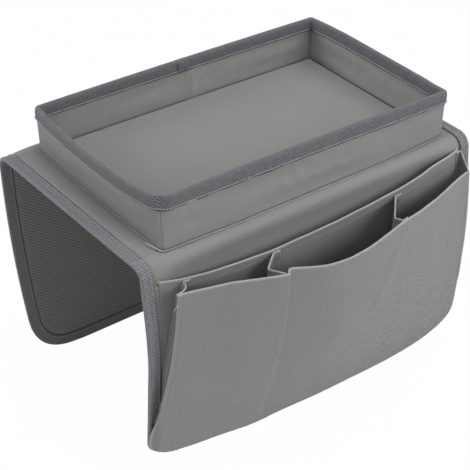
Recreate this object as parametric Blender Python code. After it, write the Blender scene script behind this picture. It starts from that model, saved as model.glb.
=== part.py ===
# Sofa arm caddy: a fabric saddle with a boxed tray on top, a plain back flap
# and a front flap with a magazine pocket and three bellows pockets.
#
# Metres, +Z up. X runs along the sofa's arm, and -Y is the side with the pockets.
# The origin is the middle of the deck's underside, where the arm carries the caddy.
# Each cloth layer is drawn as its middle surface and thickened by a Solidify modifier.

from collections import namedtuple
from math import copysign, cos, exp, log, pi, radians, sin, sqrt, tanh

import bmesh
import bpy
from mathutils import Matrix, Vector

# Cloth, boards and the clearance between layers
cloth = 0.0005
board = 0.0014
wall_board = 0.0020
floor_board = 0.0020
gap = 0.0003
weld_distance = 0.00001

# Binding tape, measured from its folded edge, and the slope beside it where
# the cloths come together because the boards end there
tape_reach = 0.011
slope_run = 0.003

# Deck
caddy_width = 0.350
deck_depth = 0.200
fold_radius = 0.0092
board_setback = 0.004

# Tray
tray_left_margin = 0.0305
tray_right_margin = 0.0185
tray_side_margin = 0.006
tray_turn = radians(-1.1)
tray_height = 0.042
tray_corner = 0.0040
tray_inner_corner = 0.0012
left_wall_bow = 0.006
front_wall_bow = -0.002
bow_zone = 0.020
seam_lip = 0.0032
seam_thickness = 0.0012
floor_clearance = 0.0010

# Front flap
front_fold_angle = radians(91)
front_flap_length = 0.191
front_corner_width = 0.095
front_corner_height = 0.030
front_taper = 0.003
front_bow = 0.0072
front_bottom_swing = 0.006

# Back flap
back_fold_angle = radians(95)
back_flap_length = 0.203
back_corner_width = 0.038
back_corner_height = 0.042
back_taper = 0.009

# Magazine pocket
magazine_top = 0.0010
magazine_sag = 0.0067
magazine_tilt = 0.0028
magazine_bulge = 0.0100
magazine_depth = 0.150

# Bellows pockets
pocket_top = 0.0050
pocket_sag = 0.0020
left_pocket_drop = 0.0015
pocket_top_inset = 0.0185
pocket_bottom_inset = 0.0025
pocket_side_inset = 0.0035
pocket_shift = 0.002
pocket_end_depth = 0.0125
pocket_belly = 0.0365
hem_depth = 0.0100

# Foot of the bellows pockets, turned under and sewn to the flap's lower edge
foot_rise = 0.0015
foot_run = 0.0070
foot_depth = 0.0040
foot_allowance = 0.0060

# Pleat where the left divider is sewn to the front panel
pleat_place = -0.069
pleat_depth = 0.0055
pleat_run = 0.0300
pleat_edge = 0.0015
pleat_clearance = 0.0055

# Dividers and end gussets
divider_rear_flange = 0.0070
divider_front_flange = 0.0060
divider_rear_drop = 0.0035
left_divider_rear = -0.0565
left_divider_lean = 0.0125
right_divider_rear = 0.076
right_divider_front = 0.0545
right_divider_lean = 0.0075
left_gusset_width = 0.0140
right_gusset_width = 0.0020
gusset_flange = 0.0060

# Shares of the sizes above, chosen by hand
divider_end_share = 0.90
gusset_end_share = 0.70
left_lean_peak_share = 0.52
right_lean_peak_share = 0.80
bow_skew_share = 0.4

# Powers that set how full the curves are
corner_power = 2.4
magazine_edge_power = 4
magazine_arch_power = 2
magazine_fade_power = 1.5
belly_power = 1.5
belly_fall_power = 0.8
end_fall_power = 2
pleat_fade_power = 0.7
lean_fade_power = 0.5

# Steps in the meshes
arc_steps = 7
fold_steps = 6
flap_rows = 10
flap_columns = 8
back_flap_columns = 1
edge_arc_steps = 6
wall_steps = 12
wall_rows = 1
corner_steps = 4
panel_columns = 26
panel_rows = 11
foot_steps = 3
divider_rows = 8
strip_steps = 9

# Worked out from the sizes above
seat = cloth + gap
stack = 2 * cloth + board + 2 * gap
edge_stack = 2 * cloth + gap
slope_start = tape_reach + gap
slope_end = slope_start + slope_run
board_inset = slope_end + gap
cover_sink = board + gap - seat
wall_stack = 2 * cloth + wall_board + 2 * gap
half_deck = deck_depth / 2
half_width = caddy_width / 2
deck_top = stack
rim_top = deck_top + tray_height
tray_length = caddy_width - tray_left_margin - tray_right_margin
tray_depth = deck_depth - 2 * tray_side_margin
tray_shift = (tray_left_margin - tray_right_margin) / 2
magazine_seat = stack + gap + cloth / 2
foot_offset = magazine_seat + seat
pocket_end = front_flap_length - foot_rise
hem_fold = seat / 2
left_divider_front = pleat_place - pleat_clearance

Flap = namedtuple("Flap", "side angle length corner_width corner_height taper bow swing edge columns")
FRONT = Flap(
    side=-1,
    angle=front_fold_angle,
    length=front_flap_length,
    corner_width=front_corner_width,
    corner_height=front_corner_height,
    taper=front_taper,
    bow=front_bow,
    swing=front_bottom_swing,
    edge=edge_stack + seat,
    columns=flap_columns,
)
BACK = Flap(
    side=1,
    angle=back_fold_angle,
    length=back_flap_length,
    corner_width=back_corner_width,
    corner_height=back_corner_height,
    taper=back_taper,
    bow=0.0,
    swing=0.0,
    edge=edge_stack,
    columns=back_flap_columns,
)


def clear_scene():
    for item in list(bpy.data.objects):
        bpy.data.objects.remove(item, do_unlink=True)


def make_material(name, color, roughness):
    material = bpy.data.materials.new(name)
    material.use_nodes = True
    shader = material.node_tree.nodes["Principled BSDF"]
    shader.inputs["Base Color"].default_value = (*color, 1.0)
    shader.inputs["Roughness"].default_value = roughness
    shader.inputs["Metallic"].default_value = 0.0
    return material


def own_material(name, kind):
    """A piece's own material, in one of the four finishes of the caddy."""
    finishes = {
        "oxford": ((0.250, 0.250, 0.243), 0.85),
        "lining": ((0.080, 0.080, 0.078), 0.90),
        "tape": ((0.170, 0.165, 0.185), 0.80),
        "board": ((0.420, 0.350, 0.270), 0.90),
    }
    return make_material(f"{name}_{kind}", *finishes[kind])


def grid_faces(rows, first, ring):
    """Triangles between neighbouring rows of points, numbered from first."""
    count = len(rows[0])
    faces = []
    for r in range(len(rows) - 1):
        for c in range(count if ring else count - 1):
            right = (c + 1) % count
            start, below = first + r * count, first + (r + 1) * count
            faces.append((start + c, start + right, below + right))
            faces.append((start + c, below + right, below + c))
    return faces


def weld(mesh):
    """Join the rim to the field it surrounds."""
    edit = bmesh.new()
    edit.from_mesh(mesh)
    bmesh.ops.remove_doubles(edit, verts=edit.verts[:], dist=weld_distance)
    bmesh.ops.recalc_face_normals(edit, faces=edit.faces[:])
    edit.to_mesh(mesh)
    edit.free()


def sheet(name, rows, thickness, kind, ring=False, cap=False, rim=()):
    """A cloth or board whose middle surface runs through rows of points.

    A ring joins each row's last point to its first, a cap closes the last row,
    and a rim is a second set of rows whose last one runs along the first set's edge.
    """
    mesh = bpy.data.meshes.new(name)
    points = [point for row in rows for point in row]
    faces = grid_faces(rows, 0, ring)
    if cap:
        faces.append(tuple(range(len(points) - len(rows[0]), len(points))))
    if rim:
        faces += grid_faces(rim, len(points), False)
        points += [point for row in rim for point in row]
    mesh.from_pydata(points, [], faces)
    if rim:
        weld(mesh)
    mesh.materials.append(own_material(name, kind))
    mesh.shade_smooth()
    mesh.set_sharp_from_angle(angle=radians(40))
    item = bpy.data.objects.new(name, mesh)
    bpy.context.scene.collection.objects.link(item)
    solid = item.modifiers.new("thickness", "SOLIDIFY")
    solid.thickness = thickness
    solid.offset = 0.0
    return item


def spread(low, high, steps):
    return [low + (high - low) * i / steps for i in range(steps + 1)]


# The cross-section: a flat deck, a round fold and a hanging flap


def fold_point(flap, x, angle, offset):
    radius = fold_radius + offset
    return Vector((x, flap.side * (half_deck + radius * sin(angle)), radius * cos(angle) - fold_radius))


def flap_lift(flap, x, down):
    """How far the hanging flap stands out of its plane."""
    share = max(0.0, min(1.0, down / flap.length))
    across = 1 - (x / half_width) ** 2
    skewed = share * (1 + bow_skew_share * (1 - share))
    return flap.bow * sin(pi * skewed) + flap.swing * across * share ** 2


def flap_point(flap, x, down, offset):
    start = fold_point(flap, x, flap.angle, offset + flap_lift(flap, x, down))
    return start + down * Vector((0.0, flap.side * cos(flap.angle), -sin(flap.angle)))


def hinge_location(flap):
    """The middle of the fold, about which the flap lifts out flat."""
    return fold_point(flap, 0.0, flap.angle / 2, stack / 2)


def make_hinge(name, flap):
    hinge = bpy.data.objects.new(name, None)
    hinge.empty_display_size = tape_reach
    hinge.location = hinge_location(flap)
    bpy.context.scene.collection.objects.link(hinge)
    return hinge


def hang_on(hinge, pieces):
    """Give each piece its origin on the hinge line."""
    for piece in pieces:
        piece.data.transform(Matrix.Translation(-hinge.location))
        piece.parent = hinge


# The flaps' outline, a little narrower towards its full, rounded lower corners


def tongue_half(flap, down, inset):
    """Half the flap's width at a distance down, drawn in from its outer edge."""
    straight = flap.length - flap.corner_height
    drop = max(0.0, min(1.0, (down - straight) / (flap.corner_height - inset)))
    reach = (1 - drop ** corner_power) ** (1 / corner_power)
    narrow = flap.taper * (down / flap.length) ** 2
    return half_width - narrow - flap.corner_width + (flap.corner_width - inset) * reach


def tongue_downs(flap, inset, start):
    """Distances down the flap, closer together where its corners are round."""
    straight = flap.length - flap.corner_height
    turns = spread(0.0, pi / 2, arc_steps)[1:-1]
    shares = [sin(turn) ** (2 / corner_power) for turn in turns] + [1.0]
    return spread(start, straight, flap_rows) + [
        straight + (flap.corner_height - inset) * share for share in shares
    ]


def tongue_edge(flap, inset, start, columns):
    """The outline from the fold down, round the bottom and up again, as (x, down)."""
    half = [(tongue_half(flap, down, inset), down) for down in tongue_downs(flap, inset, start)]
    middle, low = half[-1]
    bottom = [(x, low) for x in spread(-middle, middle, columns)[1:-1]]
    return [(-x, down) for x, down in half] + bottom + half[::-1]


# The binding tape's folded section


def tape_section(low, high, reach):
    """Points of the tape's middle line round an edge, as (inset, offset).

    The stack of layers that it wraps lies between the offsets low and high.
    """
    bottom = low - gap - cloth / 2
    top = high + gap + cloth / 2
    radius = (top - bottom) / 2
    centre = (cloth / 2 + radius, (top + bottom) / 2)
    arc = [
        (centre[0] - radius * sin(turn), centre[1] + radius * cos(turn))
        for turn in spread(0.0, pi, edge_arc_steps)
    ]
    return [(reach, top)] + arc + [(reach, bottom)]


def layer_inset(thickness):
    """How far the layers' edge stays inside the tape's outer edge."""
    return thickness / 2 + seat


def edge_tape(thickness):
    """The tape's section round the saddle's edge, flush with the lining."""
    return tape_section(seat, seat + thickness, tape_reach)


def edge_profile(thickness, sink):
    """A cloth's way in from its edge, as (inset, how far it sinks), onto the board."""
    return [(layer_inset(thickness), sink), (slope_start, sink), (slope_end, 0.0)]


# Deck


def cross_row(thickness, offset, sink, place):
    """A cloth's row of points from its left edge to its right one, put in place by a function."""
    right = [(half_width - inset, offset - drop) for inset, drop in edge_profile(thickness, sink)]
    return [place(-x, height) for x, height in right] + [place(x, height) for x, height in right[::-1]]


def make_deck():
    y = half_deck - gap / 2
    ends = (-y, y)
    for name, offset, sink, kind in (
        ("deck_lining", cloth / 2, -seat, "lining"),
        ("deck_cover", stack - cloth / 2, cover_sink, "oxford"),
    ):
        rows = [cross_row(edge_stack, offset, sink, lambda x, height: Vector((x, end, height))) for end in ends]
        sheet(name, rows, cloth, kind)
    x = half_width - board_inset
    rows = [[Vector((-x, end, seat + board / 2)), Vector((x, end, seat + board / 2))]
            for end in (board_setback - y, y - board_setback)]
    sheet("deck_board", rows, board, "board")
    for name, side in (("deck_binding_left", -1), ("deck_binding_right", 1)):
        rows = [
            [Vector((side * (half_width - inset), end, offset)) for inset, offset in edge_tape(edge_stack)]
            for end in ends
        ]
        sheet(name, rows, cloth, "tape")


# Folds, where the cloth and the tape bend over the edge of the arm


def make_fold(name, flap):
    start = gap / 2 / (fold_radius + stack / 2)
    angles = spread(start, flap.angle - start, fold_steps)
    for layer, offset, sink, kind in (
        ("lining", cloth / 2, -seat, "lining"),
        ("cover", stack - cloth / 2, cover_sink, "oxford"),
    ):
        rows = [
            cross_row(edge_stack, offset, sink, lambda x, height: fold_point(flap, x, angle, height))
            for angle in angles
        ]
        sheet(f"{name}_{layer}", rows, cloth, kind)
    for end, side in (("left", -1), ("right", 1)):
        rows = []
        for angle in angles:
            section = edge_tape(edge_stack + (flap.edge - edge_stack) * angle / flap.angle)
            rows.append([fold_point(flap, side * (half_width - inset), angle, offset) for inset, offset in section])
        sheet(f"{name}_binding_{end}", rows, cloth, "tape")


# Flaps


def flap_field(flap, offset, inset, start):
    """The flat middle of a layer, as rows across the flap."""
    return [
        [
            flap_point(flap, share * tongue_half(flap, down, inset), down, offset)
            for share in spread(-1.0, 1.0, flap.columns)
        ]
        for down in tongue_downs(flap, inset, start)
    ]


def flap_cloth(name, flap, offset, sink, kind):
    start = gap / 2
    rim = [
        [flap_point(flap, x, down, offset - drop) for x, down in tongue_edge(flap, inset, start, flap.columns)]
        for inset, drop in edge_profile(flap.edge, sink)
    ]
    return sheet(name, flap_field(flap, offset, slope_end, start), cloth, kind, rim=rim)


def make_flap(name, flap):
    board_field = flap_field(flap, seat + board / 2, board_inset, gap / 2 + board_setback)
    binding = [
        [flap_point(flap, x, down, offset) for x, down in tongue_edge(flap, inset, gap / 2, flap.columns)]
        for inset, offset in edge_tape(flap.edge)
    ]
    return [
        flap_cloth(f"{name}_lining", flap, cloth / 2, -seat, "lining"),
        sheet(f"{name}_board", board_field, board, "board"),
        flap_cloth(f"{name}_cover", flap, stack - cloth / 2, cover_sink, "oxford"),
        sheet(f"{name}_binding", binding, cloth, "tape"),
    ]


# Magazine pocket: a sheet over the whole flap, open at its top edge


def magazine_drop(share, down):
    """How far the panel's edge dips below its ends, fading down the panel."""
    dip = magazine_sag * (1 - share ** magazine_edge_power) - magazine_tilt * share
    return dip * max(0.0, 1 - down / magazine_depth)


def magazine_offset(x, down):
    """Offset of the magazine panel's middle surface."""
    inside = half_width - slope_end
    arch = max(0.0, 1 - (x / inside) ** 2) ** magazine_arch_power
    fade = max(0.0, 1 - down / magazine_depth) ** magazine_fade_power
    return magazine_seat + magazine_bulge * arch * fade


def magazine_point(x, down, share, sink):
    """A point of the panel; share is the way across it, from -1 to 1."""
    low = max(magazine_top, down + magazine_drop(share, down))
    return flap_point(FRONT, x, low, magazine_offset(x, low) - sink)


def make_magazine_panel():
    columns = 2 * flap_columns
    rows = [
        [
            magazine_point(share * tongue_half(FRONT, down, slope_end), down, share, 0.0)
            for share in spread(-1.0, 1.0, columns)
        ]
        for down in tongue_downs(FRONT, slope_end, magazine_top)
    ]
    rim = [
        [
            magazine_point(x, down, copysign(1.0, x), sink)
            for x, down in tongue_edge(FRONT, inset, magazine_top, columns)
        ]
        for inset, sink in edge_profile(FRONT.edge, cover_sink)
    ]
    return sheet("magazine_pocket_panel", rows, cloth, "oxford", rim=rim)


# Bellows pockets: one wide panel that bulges away from the magazine panel


def pocket_half(share):
    """Half the front panel's width, which follows the flap's outline near its foot."""
    down = pocket_top + (pocket_end - pocket_top) * share
    inset = pocket_top_inset + (pocket_bottom_inset - pocket_top_inset) * share
    return min(half_width - inset, tongue_half(FRONT, down, pocket_side_inset))


def pocket_x(across, share):
    return across * pocket_half(share) + pocket_shift * (1 - share)


def pocket_across(x, share):
    """The value of across at which the front panel passes x."""
    return (x - pocket_shift * (1 - share)) / pocket_half(share)


def from_pleat(across, share):
    """Distance to the right of the pleat, which runs down the panel with its width."""
    return (across - pocket_across(pleat_place, 0.0)) * pocket_half(share)


def pocket_place(across, share):
    """x, distance down and offset of the front panel's middle surface.

    across runs from -1 to 1 over its width and share from 0 at its top to 1 at its foot.
    """
    away = from_pleat(across, share)
    side = tanh(away / pleat_edge)
    drop = pocket_sag * (1 - across ** 2) + left_pocket_drop * (1 - side) / 2
    top = pocket_top + drop
    down = top + (pocket_end - top) * share
    end = pocket_end_depth * (1 - share) ** end_fall_power
    belly = pocket_belly * (1 - across ** 2) ** belly_power * (1 - share ** 2) ** belly_fall_power
    pleat = pleat_depth * (1 + side) / 2 * exp(-((away / pleat_run) ** 2)) * (1 - share) ** pleat_fade_power
    turn = min(1.0, max(0.0, 1 - (pocket_end - down) / foot_run))
    foot = foot_depth * sqrt(1 - turn ** 2)
    return pocket_x(across, share), down, foot_offset + end + belly + foot - pleat


def pocket_columns():
    """Even columns, with four more where the pleat steps."""
    crease = pocket_across(pleat_place, 0.0)
    step = pleat_edge / pocket_half(0.0)
    close = [crease + step * k for k in (-2.0, -0.7, 0.7, 2.0)]
    even = [u for u in spread(-1.0, 1.0, panel_columns) if all(abs(u - v) > step for v in close)]
    return sorted(even + close)


def hem_rows(columns):
    """The hem folded in behind the front panel's top edge, from its raw edge to the front."""
    tops = [pocket_place(across, 0.0) for across in columns]
    profile = ((hem_depth, 2 * hem_fold), (hem_fold, 2 * hem_fold), (0.0, hem_fold), (hem_fold, 0.0))
    return [
        [flap_point(FRONT, x, down + lower, offset - behind) for x, down, offset in tops]
        for lower, behind in profile
    ]


def foot_rows(columns):
    """The foot turned in under the panel and up again as a seam allowance."""
    feet = [pocket_place(across, 1.0) for across in columns]
    return [
        [flap_point(FRONT, x, down - rise, foot_offset) for x, down, offset in feet]
        for rise in (0.0, foot_allowance)
    ]


def make_pocket_panel():
    columns = pocket_columns()
    foot_start = 1 - foot_run / (pocket_end - pocket_top)
    shares = [foot_start * sin(pi / 2 * k / panel_rows) for k in range(1, panel_rows + 1)]
    shares += [foot_start + (1 - foot_start) * sin(pi / 2 * k / foot_steps) for k in range(1, foot_steps)]
    body = [[flap_point(FRONT, *pocket_place(across, share)) for across in columns] for share in shares]
    return sheet("pocket_front_panel", hem_rows(columns) + body + foot_rows(columns), cloth, "oxford")


def strip_row(rear_x, front_x, lean, share, flanges):
    """One height of a folded strip from the magazine panel to the front panel.

    lean is a function of the way across the strip, from 0 at its rear to 1 at its front.
    """
    across = pocket_across(front_x, share)
    front_down = pocket_place(across, share)[1]
    rear_down = front_down + divider_rear_drop * (1 - share)
    rear_flange, front_flange = flanges
    flange_x = rear_x + rear_flange
    row = [(flange_x, rear_down, magazine_offset(flange_x, rear_down) + seat)]
    start = magazine_offset(rear_x, rear_down) + seat
    finish = pocket_place(across, share)[2] - 2 * seat
    for part in spread(0.0, 1.0, strip_steps):
        x = rear_x + (front_x - rear_x) * part - lean(part)
        row.append((x, rear_down + (front_down - rear_down) * part, start + (finish - start) * part))
    edge = pocket_place(pocket_across(front_x + front_flange, share), share)[2] - 2 * seat
    row.append((front_x + front_flange, front_down, edge))
    return [flap_point(FRONT, *place) for place in row]


def make_divider(name, rear_x, front_x, lean, peak, turn):
    """A pocket divider whose top folds furthest to the left at the share peak of its depth.

    Its front flange turns left for a turn of -1 and right for 1.
    """
    flanges = (divider_rear_flange, turn * divider_front_flange)
    power = log(1 / 2) / log(peak)
    rows = []
    for share in spread(0.0, divider_end_share, divider_rows):
        reach = lean * (1 - share) ** lean_fade_power
        rows.append(strip_row(rear_x, front_x, lambda part: reach * sin(pi * part ** power), share, flanges))
    return sheet(name, rows, cloth, "oxford")


def make_gusset(name, side, width):
    """An end strip that leaves the magazine panel forwards and curls out to the panel's edge."""
    rows = []
    for share in spread(0.0, gusset_end_share, divider_rows):
        front_x, down, front_offset = pocket_place(side, share)
        narrow = width * (1 - share) + gusset_flange / 2 * share
        inside = tongue_half(FRONT, down, tape_reach + seat)
        rear_x = side * min(side * front_x - narrow, inside)
        flange_x = rear_x - side * gusset_flange
        start = magazine_offset(rear_x, down) + seat
        finish = front_offset - 2 * seat
        row = [(flange_x, magazine_offset(flange_x, down) + seat)]
        for part in spread(0.0, 1.0, strip_steps):
            x = rear_x + (front_x - rear_x) * part ** 2
            row.append((x, start + (finish - start) * (1 - (1 - part) ** 2)))
        rows.append([flap_point(FRONT, x, down, offset) for x, offset in row])
    return sheet(name, rows, cloth, "oxford")


def make_pockets():
    return [
        make_magazine_panel(),
        make_pocket_panel(),
        make_divider(
            "pocket_divider_left",
            left_divider_rear,
            left_divider_front,
            left_divider_lean,
            left_lean_peak_share,
            -1,
        ),
        make_divider(
            "pocket_divider_right",
            right_divider_rear,
            right_divider_front,
            right_divider_lean,
            right_lean_peak_share,
            1,
        ),
        make_gusset("pocket_gusset_left", -1, left_gusset_width),
        make_gusset("pocket_gusset_right", 1, right_gusset_width),
    ]


# Tray


def bend_wall(x, y, z):
    """Lean the left and the front wall out of true towards the middle of their rims."""
    height = max(0.0, min(1.0, (z - deck_top) / tray_height))
    bent_x, bent_y = x, y
    if x < bow_zone - tray_length / 2:
        bent_x -= left_wall_bow * height * (1 - (2 * y / tray_depth) ** 2)
    if y < bow_zone - tray_depth / 2:
        bent_y -= front_wall_bow * height * (1 - (2 * x / tray_length) ** 2)
    return bent_x, bent_y, z


def on_deck(x, y, z):
    """Move a point from the tray's own middle to its place, a little askew on the deck."""
    turned = Matrix.Rotation(tray_turn, 3, "Z") @ Vector(bend_wall(x, y, z))
    return turned + Vector((tray_shift, 0.0, 0.0))


def tray_ring(inset, z):
    """The tray's rounded plan, drawn in from the outer cover's face."""
    radius = max(tray_inner_corner, tray_corner - inset)
    half_x = tray_length / 2 - inset - radius
    half_y = tray_depth / 2 - inset - radius
    points = []
    for index, (sx, sy) in enumerate(((1, 1), (-1, 1), (-1, -1), (1, -1))):
        for turn in spread(index * pi / 2, (index + 1) * pi / 2, corner_steps):
            points.append((sx * half_x + radius * cos(turn), sy * half_y + radius * sin(turn)))
        x, y = points[-1]
        if index % 2 == 0:
            points += [(x_next, y) for x_next in spread(sx * half_x, -sx * half_x, wall_steps)[1:-1]]
        else:
            points += [(x, y_next) for y_next in spread(sy * half_y, -sy * half_y, wall_steps)[1:-1]]
    return [on_deck(x, y, z) for x, y in points]


def wall_board_rows(side_x, side_y):
    inset = seat + wall_board / 2
    low = deck_top + gap
    high = rim_top - layer_inset(wall_stack)
    if side_x:
        x = side_x * (tray_length / 2 - inset)
        far = side_x * (tray_depth / 2 - tray_corner)
        plan = [(x, y) for y in spread(-far, far, wall_steps)]
    else:
        y = side_y * (tray_depth / 2 - inset)
        far = side_y * (tray_length / 2 - tray_corner)
        plan = [(x, y) for x in spread(far, -far, wall_steps)]
    return [[on_deck(x, y, z) for x, y in plan] for z in spread(low, high, wall_rows)]


def floor_outline(drawn_in, z):
    x = tray_length / 2 - drawn_in
    y = tray_depth / 2 - drawn_in
    return [on_deck(sx * x, sy * y, z) for sx, sy in ((1, 1), (-1, 1), (-1, -1), (1, -1))]


def make_tray_floor():
    low = deck_top + gap
    side = wall_stack + floor_clearance + cloth / 2
    corners = floor_outline(side + cloth / 2 + gap, low + floor_board / 2)
    sheet("tray_floor_board", [corners[1::-1], corners[2:]], floor_board, "board")
    top = low + floor_board + gap + cloth / 2
    rings = [
        floor_outline(side, low + cloth / 2),
        floor_outline(side, top - cloth / 2),
        floor_outline(side + cloth / 2, top),
    ]
    sheet("tray_floor_cover", rings, cloth, "oxford", ring=True, cap=True)


def make_tray():
    low = deck_top + gap
    high = rim_top - layer_inset(wall_stack)
    outer = [tray_ring(cloth / 2, z) for z in spread(low, high, wall_rows)]
    sheet("tray_outer_cover", outer, cloth, "oxford", ring=True)
    inner = [tray_ring(wall_stack - cloth / 2, z) for z in spread(low, high, wall_rows)]
    sheet("tray_inner_cover", inner, cloth, "oxford", ring=True)
    for name, side_x, side_y in (("left", -1, 0), ("right", 1, 0), ("front", 0, -1), ("back", 0, 1)):
        sheet(f"tray_{name}_wall_board", wall_board_rows(side_x, side_y), wall_board, "board")
    section = tape_section(0.0, wall_stack, tape_reach)
    rim = [tray_ring(offset, rim_top - inset) for inset, offset in section]
    sheet("tray_rim_binding", rim, cloth, "tape", ring=True)
    height = deck_top + gap + seam_thickness / 2
    lip = [tray_ring(-gap, height), tray_ring(-gap - seam_lip, height)]
    sheet("tray_base_seam", lip, seam_thickness, "oxford", ring=True)
    make_tray_floor()


def main():
    clear_scene()
    make_deck()
    make_fold("front_fold", FRONT)
    make_fold("back_fold", BACK)
    hang_on(make_hinge("front_flap_hinge", FRONT), make_flap("front_flap", FRONT) + make_pockets())
    hang_on(make_hinge("back_flap_hinge", BACK), make_flap("back_flap", BACK))
    make_tray()


main()
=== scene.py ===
from collections import namedtuple
from math import cos, pi, radians, sin

import bmesh
import bpy
import numpy as np
from mathutils import Matrix, Vector


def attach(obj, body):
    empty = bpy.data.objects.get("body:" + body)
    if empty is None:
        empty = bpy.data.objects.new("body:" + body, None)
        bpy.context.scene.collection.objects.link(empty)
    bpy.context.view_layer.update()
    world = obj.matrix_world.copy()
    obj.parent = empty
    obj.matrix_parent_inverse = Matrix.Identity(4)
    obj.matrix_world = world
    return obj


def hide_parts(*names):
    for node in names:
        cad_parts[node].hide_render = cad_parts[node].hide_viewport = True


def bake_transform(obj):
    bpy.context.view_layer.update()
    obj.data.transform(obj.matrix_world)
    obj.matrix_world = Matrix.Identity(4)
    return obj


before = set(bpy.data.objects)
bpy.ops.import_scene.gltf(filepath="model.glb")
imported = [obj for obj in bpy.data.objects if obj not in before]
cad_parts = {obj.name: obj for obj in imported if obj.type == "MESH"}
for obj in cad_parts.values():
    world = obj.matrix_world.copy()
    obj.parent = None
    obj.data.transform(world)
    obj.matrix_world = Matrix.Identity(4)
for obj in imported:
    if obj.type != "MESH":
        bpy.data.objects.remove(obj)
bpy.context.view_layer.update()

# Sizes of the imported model, in metres
cloth = 0.0005
board = 0.0014
wall_board = 0.0020
floor_board = 0.0020
gap = 0.0003
tape_reach = 0.011
slope_run = 0.003
caddy_width = 0.350
deck_depth = 0.200
fold_radius = 0.0092
tray_left_margin = 0.0305
tray_right_margin = 0.0185
tray_side_margin = 0.006
tray_turn = radians(-1.1)
tray_height = 0.042
tray_corner = 0.0040
tray_inner_corner = 0.0012
left_wall_bow = 0.006
front_wall_bow = -0.002
bow_zone = 0.020
floor_clearance = 0.0010
front_flap_length = 0.191
back_flap_length = 0.203
magazine_top = 0.0010
magazine_sag = 0.0051
magazine_sag_reach = 0.75
magazine_rise = 0.0028
magazine_edge_drops = ((-1, -0.0008), (-0.88, 0.0020), (-0.75, 0.0035), (-0.3, 0.0032), (0, 0.0024),
                       (0.3, 0.0014), (0.7, 0), (1, 0))
magazine_tilt = 0.0028
magazine_bulge = 0.0122
magazine_depth = 0.150
pocket_top = 0.0042
pocket_sag = 0.0020
left_pocket_drop = 0.0015
pocket_top_inset = 0.0185
pocket_bottom_inset = 0.0025
pocket_side_inset = 0.0035
pocket_shift = 0.002
pocket_end_depth = 0.0125
pocket_belly = 0.0365
hem_depth = 0.0100
foot_rise = 0.0015
foot_run = 0.0070
foot_depth = 0.0040
foot_allowance = 0.0060
pleat_place = -0.0635
pleat_depth = 0.0055
pleat_run = 0.0300
pleat_edge = 0.0015
divider_rear_flange = 0.0070
divider_front_flange = 0.0060
divider_rear_drop = 0.0020
divider_end_share = 0.90
fold_slant = 0.0075
# Each divider's place at the rear and in front, and its fold as (depth, place, softness)
dividers = {"left": (-0.0565, -0.0675, (0.0130, 0.52, 0.05)), "right": (0.076, 0.0545, (0.0085, 0.78, 0.05))}
gusset_flange = 0.0060
gusset_end_share = 0.70
bow_skew = 0.4
corner_power = 2.4

# Worked out from the sizes above
seat = cloth + gap
stack = 2 * cloth + board + 2 * gap
edge_stack = 2 * cloth + gap
slope_start = tape_reach + gap
slope_end = slope_start + slope_run
cover_sink = board + gap - seat
wall_stack = 2 * cloth + wall_board + 2 * gap
rim_radius = (wall_stack + 2 * gap + cloth) / 2
half_deck = deck_depth / 2
half_width = caddy_width / 2
deck_top = stack
rim_top = deck_top + tray_height
tray_length = caddy_width - tray_left_margin - tray_right_margin
tray_depth = deck_depth - 2 * tray_side_margin
tray_shift = (tray_left_margin - tray_right_margin) / 2
magazine_seat = stack + gap + cloth / 2
foot_offset = magazine_seat + seat
pocket_end = front_flap_length - foot_rise

Flap = namedtuple("Flap", "word side angle length corner_width corner_height taper bow swing edge")
FRONT = Flap("front", -1, radians(91), front_flap_length, 0.095, 0.030, 0.003, 0.0072, 0.006,
             edge_stack + seat)
BACK = Flap("back", 1, radians(95), back_flap_length, 0.038, 0.042, 0.009, 0.0, 0.0, edge_stack)

# The saddle's finer shape; a triple for ramp is (amount, start, run), one for bell (amount, middle, width)
fold_ease = 0.006
fold_step = 0.0008
fold_end = 0.004
square_power = 3.4
square_margin = 0.013
square_fade = 0.030
front_drop = (0.0066, -0.085, 0.190)
front_extra_drop = (0.0017, 0.020, 0.060)
front_raise = (0.0036, -0.130, 0.030)
front_spread = (0.0012, 0.35, 0.25)
back_drop = (0.0020, -0.150, 0.040)
back_spread = 0.0017
deck_end = half_deck - 0.004
cover_slope = ((0, 1), (0.3, 0.86), (0.6, 0.30), (1, 0))
flap_step = 0.004
flap_columns = 80

# Slack of the cloths and tapes, as (height, length of the waves)
deck_slack = (0.00012, 0.05)
tape_wander = (0.00030, 0.018)
tape_puff = (0.00007, 0.009)
magazine_slack = (0.00045, 0.045)
panel_slack = (0.0006, 0.06)
panel_fine_slack = (0.00022, 0.02)
divider_slack = (0.0004, 0.04)
rim_wander = (0.00040, 0.022)
rim_puff = (0.00010, 0.008)
wall_ripple = (0.00025, 0.016)
lip_slack = (0.00020, 0.02)
floor_slack = (0.00028, 0.07)

# Tape, hems and stitches
tape_bead = 0.0050
bead_crown = 0.00040
leg_crown = 0.00022
groove_depth = 0.00018
groove_width = 0.0005
free_start = 0.006
hem_hang = 0.0012
# Painted highlight along folded and cut edges: the hem's last row before its roll, which also ends the
# highlight along the fold, and the highlight's reach in from a cloth's edge
hem_roll_band = 0.0009
edge_highlight_band = 0.0012
thread_radius = 0.00030
stitch_pitch = 0.0030
stitch_length = 0.0025
stitch_inset = 0.0092
stitch_shape = ((-0.9, 0.55), (0.55, 1.0), (0.8, 1.05), (0.55, 1.0), (-0.9, 0.55))
thread_sides = 6
thread_lift = 0.00018
under_lift = 0.0001

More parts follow.
